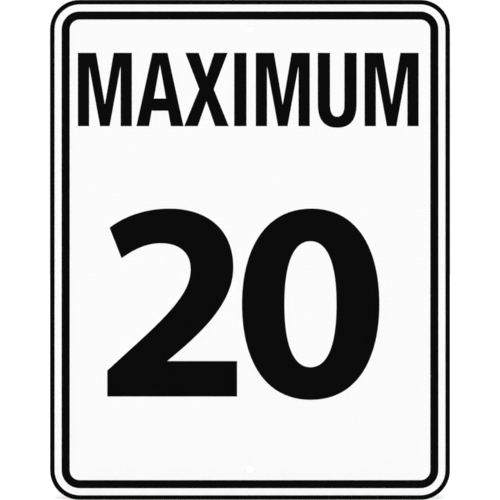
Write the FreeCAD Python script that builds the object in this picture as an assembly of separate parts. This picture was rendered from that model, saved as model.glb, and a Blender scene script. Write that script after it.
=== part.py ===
import FreeCAD, Part
import os

# Speed limit sign plate: an aluminium blank faced with white reflective sheeting,
# with a black line along its edge and a black border line inside that.
# X runs across the sign, +Z is up, and the face looks toward -Y.
# The origin is the middle of the back face, half way between the two bolt holes.
# All sizes are in millimetres.

sign_width = 600.0
sign_height = 750.0
corner_radius = 44.5

blank_thickness = 2.0
sheeting_thickness = 0.3
film_thickness = 0.1

# The face, read inward from the sign's edge: black line, white gap, black border line.
rim_line_width = 7.0
white_gap = 10.4
border_line_width = 12.3

# Two bolts hold the sign to its post. Their holes lie on the centre line,
# in the white field, this far clear of the border line.
bolt_hole_diameter = 10.0
bolt_hole_clearance = 10.1

# The blank is deburred on its back, round the outside and round the holes.
edge_rounding = 0.4

border_line_inset = rim_line_width + white_gap
white_field_inset = border_line_inset + border_line_width
bolt_hole_inset = white_field_inset + bolt_hole_clearance + bolt_hole_diameter / 2
bolt_spacing = sign_height - 2 * bolt_hole_inset

# Depth of each layer's back, counted from the back face toward the viewer.
sheeting_depth = blank_thickness
film_depth = sheeting_depth + sheeting_thickness
face_depth = film_depth + film_thickness


# A flat plate with the sign's outline moved in by the inset. Its corners stay
# concentric with the sign's, and turn square where the inset is past their radius.
def outline_plate(inset, depth, thickness):
    width = sign_width - 2 * inset
    height = sign_height - 2 * inset
    lower_left = FreeCAD.Vector(-width / 2, -depth - thickness, -height / 2)
    plate = Part.makeBox(width, thickness, height, lower_left)
    radius = corner_radius - inset
    if radius > 0:
        corners = [edge for edge in plate.Edges if edge.BoundBox.YLength > thickness / 2]
        plate = plate.makeFillet(radius, corners)
    return plate


# A flat ring that follows the sign's edge from one inset to a deeper one.
def line_ring(outer_inset, width):
    outer = outline_plate(outer_inset, film_depth, film_thickness)
    inner = outline_plate(outer_inset + width, film_depth, film_thickness)
    return outer.cut(inner)


# Both bolt holes as one tool, running past the back face and past the front.
def bolt_hole_tool():
    through = face_depth + 2 * blank_thickness
    toward_viewer = FreeCAD.Vector(0, -1, 0)
    holes = []
    for side in (-1, 1):
        start = FreeCAD.Vector(0, blank_thickness, side * bolt_spacing / 2)
        holes.append(Part.makeCylinder(bolt_hole_diameter / 2, through, start, toward_viewer))
    return holes[0].fuse(holes[1])


# The punched blank. Its front edges stay square, because the sheeting is trimmed flush to them.
def sign_blank():
    blank = outline_plate(0, 0, blank_thickness).cut(bolt_hole_tool())
    back_edges = [edge for edge in blank.Edges if edge.BoundBox.YMin > -blank_thickness / 2]
    return blank.makeFillet(edge_rounding, back_edges)


# The sheeting covers the whole blank and is punched together with it.
def white_sheeting():
    return outline_plate(0, sheeting_depth, sheeting_thickness).cut(bolt_hole_tool())


def rim_line():
    return line_ring(0, rim_line_width)


def border_line():
    return line_ring(border_line_inset, border_line_width)


pieces = {
    "sign_blank": sign_blank(),
    "white_sheeting": white_sheeting(),
    "rim_line": rim_line(),
    "border_line": border_line(),
}

os.makedirs("parts", exist_ok=True)
for name, piece in pieces.items():
    piece.Solids[0].exportStep("parts/" + name + ".step")
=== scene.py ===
import math
import bpy
import bmesh
from mathutils import Matrix, Vector


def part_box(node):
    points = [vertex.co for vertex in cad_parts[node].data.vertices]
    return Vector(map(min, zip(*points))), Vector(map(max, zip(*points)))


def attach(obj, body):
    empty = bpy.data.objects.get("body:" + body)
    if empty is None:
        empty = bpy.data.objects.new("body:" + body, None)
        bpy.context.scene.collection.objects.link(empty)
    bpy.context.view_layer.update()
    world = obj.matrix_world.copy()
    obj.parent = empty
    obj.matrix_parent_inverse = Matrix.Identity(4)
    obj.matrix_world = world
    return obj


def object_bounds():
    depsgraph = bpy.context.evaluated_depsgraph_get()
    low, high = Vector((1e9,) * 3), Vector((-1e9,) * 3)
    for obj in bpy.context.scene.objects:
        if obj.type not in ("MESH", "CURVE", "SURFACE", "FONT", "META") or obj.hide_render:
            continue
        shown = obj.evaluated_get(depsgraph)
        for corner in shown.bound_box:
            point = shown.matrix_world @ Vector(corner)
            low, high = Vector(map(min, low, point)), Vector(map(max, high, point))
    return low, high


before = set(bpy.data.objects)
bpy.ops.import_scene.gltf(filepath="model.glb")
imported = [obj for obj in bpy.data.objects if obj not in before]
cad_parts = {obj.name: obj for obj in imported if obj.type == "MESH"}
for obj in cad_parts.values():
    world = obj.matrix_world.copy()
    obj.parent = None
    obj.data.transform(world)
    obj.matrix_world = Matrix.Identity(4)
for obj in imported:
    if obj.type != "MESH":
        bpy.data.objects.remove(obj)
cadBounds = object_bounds()
print("frame loaded:", ", ".join(sorted(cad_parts)))

mm = 0.001

# Shader maths


class Wire:
    # one socket of a shader tree: sums on it add Math nodes, add() brings any other node
    def __init__(self, tree, socket=None):
        self.tree = tree
        self.socket = socket

    def add(self, kind, settings, inputs, output=0):
        node = self.tree.nodes.new("ShaderNode" + kind)
        for name, value in settings.items():
            setattr(node, name, value)
        for name, value in inputs.items():
            if isinstance(value, Wire):
                self.tree.links.new(value.socket, node.inputs[name])
            else:
                node.inputs[name].default_value = value
        return Wire(self.tree, node.outputs[output] if node.outputs else None)

    def maths(self, operation, *values):
        return self.add("Math", {"operation": operation}, dict(enumerate(values)))

    def __add__(self, other):
        return self.maths("ADD", self, other)

    def __radd__(self, other):
        return self.maths("ADD", other, self)

    def __sub__(self, other):
        return self.maths("SUBTRACT", self, other)

    def __rsub__(self, other):
        return self.maths("SUBTRACT", other, self)

    def __mul__(self, other):
        return self.maths("MULTIPLY", self, other)

    def __rmul__(self, other):
        return self.maths("MULTIPLY", other, self)

    def __truediv__(self, other):
        return self.maths("DIVIDE", self, other)

    def __rtruediv__(self, other):
        return self.maths("DIVIDE", other, self)

    def __abs__(self):
        return self.maths("ABSOLUTE", self)


def newMaterial(name):
    material = bpy.data.materials.new(name)
    material.use_nodes = True
    material.node_tree.nodes.clear()
    return material, Wire(material.node_tree)


def finishMaterial(wire, surface):
    wire.add("OutputMaterial", {}, {"Surface": surface})


def mixColours(wire, factor, first, second):
    # colour sockets of the Mix node: 6 and 7 in, 2 out
    return wire.add("Mix", {"data_type": "RGBA"}, {0: factor, 6: first, 7: second}, 2)


def grey(value, warmth=0.0):
    return (value * (1 + warmth), value, value * (1 - warmth), 1.0)


def noise(wire, scales, detail):
    # object coordinates are in metres, so the scales are waves to the metre along X, Y and Z
    coordinates = wire.add("TexCoord", {}, {}, "Object")
    place = wire.add("VectorMath", {"operation": "MULTIPLY"}, {0: coordinates, 1: scales})
    return wire.add("TexNoise", {}, {"Vector": place, "Scale": 1.0, "Detail": detail})


def relief(wire, finish, height):
    settings = {"Strength": finish["bumpStrength"], "Distance": finish["bumpDepth"]}
    return wire.add("Bump", {}, {**settings, "Height": height})


# Finishes

sheetingFinish = {
    "colour": 0.932,
    "mottle": 0.006,
    "mottleScales": (9.0, 9.0, 9.0),
    "mottleDetail": 3.0,
    "sealColour": 0.884,  # the seals between the cells are a touch darker
    "sealWidth": 0.15,  # from a cell's edge inward, as a share of the cell
    "cell": 4.6 * mm,
    "fineScales": (900.0, 900.0, 900.0),
    "fineDetail": 2.0,
    "fineHeight": 0.15,
    "fineRoughness": 0.08,
    "roughness": 0.32,
    "gloss": 0.35,
    "coat": 0.25,
    "coatRoughness": 0.12,
    "bumpStrength": 0.5,
    "bumpDepth": 0.02 * mm,
}


def cellEdge(wire, x, z, cell):
    # 0 in the middle of a six-sided cell, 0.5 on its edge
    across = x / cell
    upward = z / (cell * math.sqrt(3))
    nearest = None
    for shift in (0.0, 0.5):
        column = across + shift
        row = upward + shift
        aside = abs(column - wire.maths("ROUND", column))
        above = abs(row - wire.maths("ROUND", row))
        edge = wire.maths("MAXIMUM", aside, aside * 0.5 + above * 1.5)
        nearest = edge if nearest is None else wire.maths("MINIMUM", nearest, edge)
    return nearest


def makeSheetingFinish():
    s = sheetingFinish
    material, wire = newMaterial("whiteSheeting")
    coordinates = wire.add("TexCoord", {}, {}, "Object")
    x = wire.add("SeparateXYZ", {}, {"Vector": coordinates}, "X")
    z = wire.add("SeparateXYZ", {}, {"Vector": coordinates}, "Z")
    edge = cellEdge(wire, x, z, s["cell"])
    seal = wire.add("MapRange", {"interpolation_type": "SMOOTHSTEP"},
                    {"Value": edge, "From Min": 0.5 - s["sealWidth"], "From Max": 0.5})
    mottle = noise(wire, s["mottleScales"], s["mottleDetail"])
    fine = noise(wire, s["fineScales"], s["fineDetail"])
    darker, lighter = grey(s["colour"] - s["mottle"]), grey(s["colour"] + s["mottle"])
    face = mixColours(wire, mottle, darker, lighter)
    bump = relief(wire, s, 1 - seal + fine * s["fineHeight"])
    surface = wire.add("BsdfPrincipled", {}, {
        "Base Color": mixColours(wire, seal, face, grey(s["sealColour"])),
        "Roughness": s["roughness"] + fine * s["fineRoughness"],
        "Specular IOR Level": s["gloss"],
        "Coat Weight": s["coat"],
        "Coat Roughness": s["coatRoughness"],
        "Normal": bump,
    })
    finishMaterial(wire, surface)
    return material


filmFinish = {
    "colour": 0.0012,
    "fleck": 0.0010,
    "cloudScales": (22.0, 22.0, 22.0),
    "cloudDetail": 3.0,
    "fineScales": (650.0, 650.0, 650.0),
    "fineDetail": 2.0,
    "roughness": 0.42,
    "cloudRoughness": 0.08,
    "gloss": 0.02,
    "bumpStrength": 0.25,
    "bumpDepth": 0.01 * mm,
}


def makeFilmFinish():
    s = filmFinish
    material, wire = newMaterial("blackFilm")
    cloud = noise(wire, s["cloudScales"], s["cloudDetail"])
    fine = noise(wire, s["fineScales"], s["fineDetail"])
    bump = relief(wire, s, fine)
    surface = wire.add("BsdfPrincipled", {}, {
        "Base Color": mixColours(wire, cloud, grey(s["colour"]), grey(s["colour"] + s["fleck"])),
        "Roughness": s["roughness"] + cloud * s["cloudRoughness"],
        "Specular IOR Level": s["gloss"],
        "Normal": bump,
    })
    finishMaterial(wire, surface)
    return material


aluminiumFinish = {
    "dull": 0.37,
    "bright": 0.55,
    "cutEdge": 0.42,
    "warmth": -0.008,  # below 0 is a cooler grey
    "grainScales": (1400.0, 1.0, 12.0),  # fine rolling lines run up the sheet
    "bandScales": (80.0, 1.0, 0.7),
    "cloudScales": (5.0, 5.0, 2.4),
    "lineDetail": 3.0,
    "cloudDetail": 4.0,
    "grainShare": 0.30,
    "bandShare": 0.32,
    "cloudShare": 0.38,
    "toneRange": (0.3, 0.7),
    "shearedFacing": (0.9, 0.3),  # how little a face looks along Y where the sheared edge sets in
    "roughness": 0.33,
    "grainRoughness": 0.14,
    "bumpStrength": 0.4,
    "bumpDepth": 0.012 * mm,
}


def makeAluminiumFinish():
    s = aluminiumFinish
    warmth = s["warmth"]
    material, wire = newMaterial("rolledAluminium")
    grain = noise(wire, s["grainScales"], s["lineDetail"])
    bands = noise(wire, s["bandScales"], s["lineDetail"])
    clouds = noise(wire, s["cloudScales"], s["cloudDetail"])
    tone = grain * s["grainShare"] + bands * s["bandShare"] + clouds * s["cloudShare"]
    low, high = s["toneRange"]
    shade = wire.add("MapRange", {}, {"Value": tone, "From Min": low, "From Max": high})
    sheet = mixColours(wire, shade, grey(s["dull"], warmth), grey(s["bright"], warmth))
    # the sheared edge has no rolling lines
    facing = wire.add("SeparateXYZ", {}, {"Vector": wire.add("TexCoord", {}, {}, "Normal")}, "Y")
    start, full = s["shearedFacing"]
    sheared = wire.add("MapRange", {}, {"Value": abs(facing), "From Min": start, "From Max": full})
    bump = relief(wire, s, grain)
    surface = wire.add("BsdfPrincipled", {}, {
        "Base Color": mixColours(wire, sheared, sheet, grey(s["cutEdge"], warmth)),
        "Metallic": 1.0,
        "Roughness": s["roughness"] + grain * s["grainRoughness"],
        "Normal": bump,
    })
    finishMaterial(wire, surface)
    return material


whiteSheeting = makeSheetingFinish()
blackFilm = makeFilmFinish()
rolledAluminium = makeAluminiumFinish()

nodeFinishes = {
    "sign_blank": rolledAluminium,
    "white_sheeting": whiteSheeting,
    "rim_line": blackFilm,
    "border_line": blackFilm,
}
for name, finish in nodeFinishes.items():
    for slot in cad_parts[name].material_slots:
        slot.material = finish
print("nodes finished:", len(nodeFinishes))

# Legend
# The characters are cut from the same film as the lines and lie on the sheeting.
# Sizes in this section are in millimetres, on the face of the sign.
# A stop is (x, z, handle in, handle out), and None is a straight side.

lineLow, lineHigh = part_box("border_line")
filmFront, filmBack = lineLow.y, lineHigh.y

legendLayout = {
    "wordBaseline": 185.45,
    "capHeight": 110.1,
    # where each character's left side starts
    "wordStarts": {
        "M1": -258.2, "A": -170.5, "X": -98.7, "I": -23.8, "M2": 8.6, "U": 101.6, "M3": 171.85,
    },
    "figureBaseline": -220.0,
    "figureStarts": {"2": -214.1, "0": -12.2},
    "curveSteps": 24,  # straight pieces from one stop to the next
    "mergeDistance": 0.01,
    "sharpEdge": math.radians(30),
}


def corner(x, z):
    return (x, z, None, None)


def mirrored(stops, middle):
    # the same stops beyond an upright middle line, walked the other way
    beyond = []
    for x, z, before, after in reversed(stops):
        flipped = [handle and (-handle[0], handle[1]) for handle in (after, before)]
        beyond.append((2 * middle - x, z, *flipped))
    return beyond


letterM = {
    "width": 81.1,
    "stem": 17.0,
    "shoulder": 27.4,  # flat top of each leg
    "valley": 77.6,  # depth of the V between the shoulders
    "notch": 20.6,  # from the top down to the notch beside each stem
    "point": 7.2,  # half the width of the middle's foot
}


def drawM(height):
    s = letterM
    middle = s["width"] / 2
    half = [
        corner(middle - s["point"], 0),
        corner(s["stem"], height - s["notch"]),
        corner(s["stem"], 0),
        corner(0, 0),
        corner(0, height),
        corner(s["shoulder"], height),
    ]
    return [half + [corner(middle, height - s["valley"])] + mirrored(half, middle)]


letterA = {
    "width": 70.9,
    "top": 22.9,  # flat top
    "legGap": 32.5,  # between the feet
    "apexDrop": 18.0,  # from the top down to the inside's apex
    "barLow": 23.1,
    "barHigh": 41.6,
}


def drawA(height):
    s = letterA
    middle = s["width"] / 2
    apex = height - s["apexDrop"]
    lowHalf = s["legGap"] / 2 * (1 - s["barLow"] / apex)
    highHalf = s["legGap"] / 2 * (1 - s["barHigh"] / apex)
    half = [
        corner(middle - lowHalf, s["barLow"]),
        corner(middle - s["legGap"] / 2, 0),
        corner(0, 0),
        corner(middle - s["top"] / 2, height),
    ]
    counter = [
        corner(middle - highHalf, s["barHigh"]),
        corner(middle, apex),
        corner(middle + highHalf, s["barHigh"]),
    ]
    return [half + mirrored(half, middle), counter]


letterX = {
    "width": 66.9,
    "topIn": 1.6,  # the top is this much narrower on each side
    "topArm": 20.3,
    "footArm": 20.5,
    "waistHalf": 10.9,
    "waistHeight": 55.5,
    "upperValley": 35.5,  # depth of the V in the top
    "lowerValley": 37.2,  # height of the V in the foot
}


def drawX(height):
    s = letterX
    middle = s["width"] / 2
    half = [
        corner(middle, s["lowerValley"]),
        corner(s["footArm"], 0),
        corner(0, 0),
        corner(middle - s["waistHalf"], s["waistHeight"]),
        corner(s["topIn"], height),
        corner(s["topIn"] + s["topArm"], height),
    ]
    return [half + [corner(middle, height - s["upperValley"])] + mirrored(half[1:], middle)]


letterI = {"width": 18.6}


def drawI(height):
    s = letterI
    return [[corner(0, 0), corner(0, height), corner(s["width"], height), corner(s["width"], 0)]]


letterU = {
    "width": 58.4,
    "stem": 18.5,
    "overhang": 2.3,  # below the baseline
    "bowl": 35.8,  # height of the round part outside
    "innerBowl": 18.8,  # and inside
    "thick": 16.6,  # at the bottom of the bowl
    "pull": 0.67,  # handles, as a share of each curve's own width and height
}


def drawU(height):
    s = letterU
    middle = s["width"] / 2
    outerLow = -s["overhang"]
    innerLow = outerLow + s["thick"]
    outerPull = s["pull"] * middle
    innerPull = s["pull"] * (middle - s["stem"])
    left = [
        (middle, outerLow, (outerPull, 0), (-outerPull, 0)),
        (0, outerLow + s["bowl"], (0, -s["pull"] * s["bowl"]), None),
        corner(0, height),
        corner(s["stem"], height),
        (s["stem"], innerLow + s["innerBowl"], None, (0, -s["pull"] * s["innerBowl"])),
    ]
    inside = (middle, innerLow, (-innerPull, 0), (innerPull, 0))
    return [left + [inside] + mirrored(left[1:], middle)]


figureTwo = {
    "width": 194.8,
    "baseHeight": 53.3,
    "heel": 39.2,  # height of the upright side at the left foot
    "footCorner": 90.3,  # where the neck meets the base
    # the stops of its curves, from the foot up the inside to the mouth and back round the outside
    "toe": (45.8, 81.0, None, (61.0, 55.6)),
    "bowlRight": (124.9, 190.9, (0, -28.1), (0, 25.7)),
    "bowlTop": (80.0, 229.8, (27.2, 0), (-28.0, 0)),
    "mouthLow": (21.4, 207.3, (8.5, 5.7), None),
    "mouthHigh": (3.3, 253.1, None, (0, 0)),
    "crown": (93.3, 282.0, (-57.5, 0), (53.0, 0)),
    "side": (189.2, 193.5, (0, 60.8), (0, -50.7)),
    "neck": (104.4, 65.1, (41.6, 35.3), None),
}


def drawTwo():
    s = figureTwo
    base = s["baseHeight"]
    curves = ("toe", "bowlRight", "bowlTop", "mouthLow", "mouthHigh", "crown", "side", "neck")
    foot = [
        corner(s["footCorner"], base),
        corner(s["width"], base),
        corner(s["width"], 0),
        corner(0, 0),
    ]
    return [[corner(0, s["heel"])] + [s[name] for name in curves] + foot]


figureZero = {
    "width": 206.4,
    "height": 287.1,
    "overhang": 5.1,  # below the baseline
    "pull": (0.708, 0.538),  # handles across and upward, as shares of the half width and height
    "lean": 1.1,  # how far right of the middle the top lies
    "innerWidth": 77.9,
    "innerHeight": 188.8,
    "innerPull": (0.61, 0.69),
    "innerShift": -0.3,
}


def oval(x, z, width, height, pull, lean=0.0):
    # its stops are left, top, right and bottom
    across = pull[0] * width / 2
    upward = pull[1] * height / 2
    return [
        (x - width / 2, z, (0, -upward), (0, upward)),
        (x + lean, z + height / 2, (-across, 0), (across, 0)),
        (x + width / 2, z, (0, upward), (0, -upward)),
        (x, z - height / 2, (across, 0), (-across, 0)),
    ]


def drawZero():
    s = figureZero
    x = s["width"] / 2
    z = s["height"] / 2 - s["overhang"]
    return [
        oval(x, z, s["width"], s["height"], s["pull"], s["lean"]),
        oval(x + s["innerShift"], z, s["innerWidth"], s["innerHeight"], s["innerPull"]),
    ]


def traceOutline(curve, stops):
    spline = curve.splines.new("BEZIER")
    spline.bezier_points.add(len(stops) - 1)
    spline.use_cyclic_u = True
    for point, (x, z, before, after) in zip(spline.bezier_points, stops):
        point.co = (x, z, 0)
        point.handle_left_type = "VECTOR" if before is None else "FREE"
        point.handle_right_type = "VECTOR" if after is None else "FREE"
        if before is not None:
            point.handle_left = (x + before[0], z + before[1], 0)
        if after is not None:
            point.handle_right = (x + after[0], z + after[1], 0)


def cutCharacter(name, outlines, startX, baseline):
    curve = bpy.data.curves.new(name + "Outline", "CURVE")
    curve.dimensions = "2D"
    curve.fill_mode = "BOTH"
    curve.resolution_u = legendLayout["curveSteps"]
    for stops in outlines:
        traceOutline(curve, stops)
    curve.extrude = (filmBack - filmFront) / mm / 2
    drawing = bpy.data.objects.new(name + "Outline", curve)
    bpy.context.scene.collection.objects.link(drawing)
    bpy.context.view_layer.update()
    mesh = bpy.data.meshes.new_from_object(drawing)
    bpy.data.objects.remove(drawing)
    # the drawing lies in X and Y: it is stood up, shrunk to metres and laid on the sheeting
    upright = Matrix.Rotation(math.radians(90), 4, "X")
    place = Matrix.Translation((startX * mm, (filmFront + filmBack) / 2, baseline * mm))
    mesh.transform(place @ upright @ Matrix.Scale(mm, 4))
    shape = bmesh.new()
    shape.from_mesh(mesh)
    bmesh.ops.remove_doubles(shape, verts=shape.verts, dist=legendLayout["mergeDistance"] * mm)
    bmesh.ops.recalc_face_normals(shape, faces=shape.faces)
    shape.to_mesh(mesh)
    shape.free()
    mesh.set_sharp_from_angle(angle=legendLayout["sharpEdge"])
    mesh.name = name
    mesh.materials.clear()
    mesh.materials.append(blackFilm)
    piece = bpy.data.objects.new(name, mesh)
    bpy.context.scene.collection.objects.link(piece)
    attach(piece, "root")


wordStarts = legendLayout["wordStarts"]
wordDrawings = {"M": drawM, "A": drawA, "X": drawX, "I": drawI, "U": drawU}
for key, startX in wordStarts.items():
    outlines = wordDrawings[key[0]](legendLayout["capHeight"])
    cutCharacter("letter_" + key, outlines, startX, legendLayout["wordBaseline"])
figureStarts = legendLayout["figureStarts"]
figureDrawings = {"2": drawTwo, "0": drawZero}
for key, startX in figureStarts.items():
    cutCharacter("figure_" + key, figureDrawings[key](), startX, legendLayout["figureBaseline"])
print("legend cut:", len(wordStarts) + len(figureStarts), "characters")

# Studio

studio = {
    "floorSize": 60.0,
    "floorColour": 0.80,
    "floorLift": 0.28,  # added for the eye only, so the floor reads white and keeps its shadow
    "worldLight": 0.59,
    # strength, azimuth and elevation: azimuth 0 shines on the face and 180 on the back
    "frontSun": (1.82, 0, 62),
    "backSun": (0.4, 205, 60),
    "sunSoftness": math.radians(28),
    "sunDistance": 3.0,
}


def seenDirectly(wire):
    # 1 for camera, glossy and transmission rays, 0 for the rays that light the sign
    camera = wire.add("LightPath", {}, {}, "Is Camera Ray")
    glossy = wire.add("LightPath", {}, {}, "Is Glossy Ray")
    through = wire.add("LightPath", {}, {}, "Is Transmission Ray")
    return wire.maths("MAXIMUM", wire.maths("MAXIMUM", camera, glossy), through)


def makeWorld():
    world = bpy.data.worlds.new("studio")
    bpy.context.scene.world = world
    world.use_nodes = True
    world.node_tree.nodes.clear()
    wire = Wire(world.node_tree)
    light = wire.add("Background", {}, {"Color": grey(1.0), "Strength": studio["worldLight"]})
    seen = wire.add("Background", {}, {"Color": grey(1.0), "Strength": 1.0})  # plain white
    both = wire.add("MixShader", {}, {0: seenDirectly(wire), 1: light, 2: seen})
    wire.add("OutputWorld", {}, {"Surface": both})


def makeFloor():
    material, wire = newMaterial("studioFloor")
    base = wire.add("BsdfDiffuse", {}, {"Color": grey(studio["floorColour"])})
    glow = seenDirectly(wire) * studio["floorLift"]
    lift = wire.add("Emission", {}, {"Color": grey(1.0), "Strength": glow})
    finishMaterial(wire, wire.add("AddShader", {}, {0: base, 1: lift}))
    shape = bmesh.new()
    bmesh.ops.create_grid(shape, x_segments=1, y_segments=1, size=studio["floorSize"] / 2)
    bmesh.ops.translate(shape, verts=shape.verts, vec=(0, 0, cadBounds[0].z))
    mesh = bpy.data.meshes.new("floor")
    shape.to_mesh(mesh)
    shape.free()
    mesh.materials.append(material)
    floor = bpy.data.objects.new("floor", mesh)
    bpy.context.scene.collection.objects.link(floor)


def makeSun(name):
    strength, azimuth, elevation = studio[name]
    lamp = bpy.data.lights.new(name, "SUN")
    lamp.energy = strength
    lamp.angle = studio["sunSoftness"]
    sun = bpy.data.objects.new(name, lamp)
    bpy.context.scene.collection.objects.link(sun)
    turn = math.radians(azimuth)
    rise = math.radians(elevation)
    level = math.cos(rise)
    toward = Vector((math.sin(turn) * level, -math.cos(turn) * level, math.sin(rise)))
    sun.location = toward * studio["sunDistance"]
    sun.rotation_euler = toward.to_track_quat("Z", "Y").to_euler()


makeWorld()
makeFloor()
makeSun("frontSun")
makeSun("backSun")
print("studio lit")

# Camera: straight on, with the sign filling the picture's height

cameraSetup = {
    "lens": 160.0,
    "sensor": 36.0,
    "pictureHeight": 500.0,  # pixels, as the next two
    "signHeight": 500.1,
    "signMiddleRow": 249.85,  # counted from the top
}


def makeCamera():
    s = cameraSetup
    low, high = cadBounds
    perPixel = (high.z - low.z) / s["signHeight"]
    span = perPixel * s["pictureHeight"]
    distance = span * s["lens"] / s["sensor"]
    lens = bpy.data.cameras.new("camera")
    lens.lens = s["lens"]
    lens.sensor_width = s["sensor"]
    camera = bpy.data.objects.new("camera", lens)
    bpy.context.scene.collection.objects.link(camera)
    rowsBelowMiddle = s["signMiddleRow"] - s["pictureHeight"] / 2
    camera.location = (0, low.y - distance, (low.z + high.z) / 2 + rowsBelowMiddle * perPixel)
    camera.rotation_euler = (math.radians(90), 0, 0)
    bpy.context.scene.camera = camera


makeCamera()
bpy.context.scene.view_settings.view_transform = "Standard"
print("camera set")
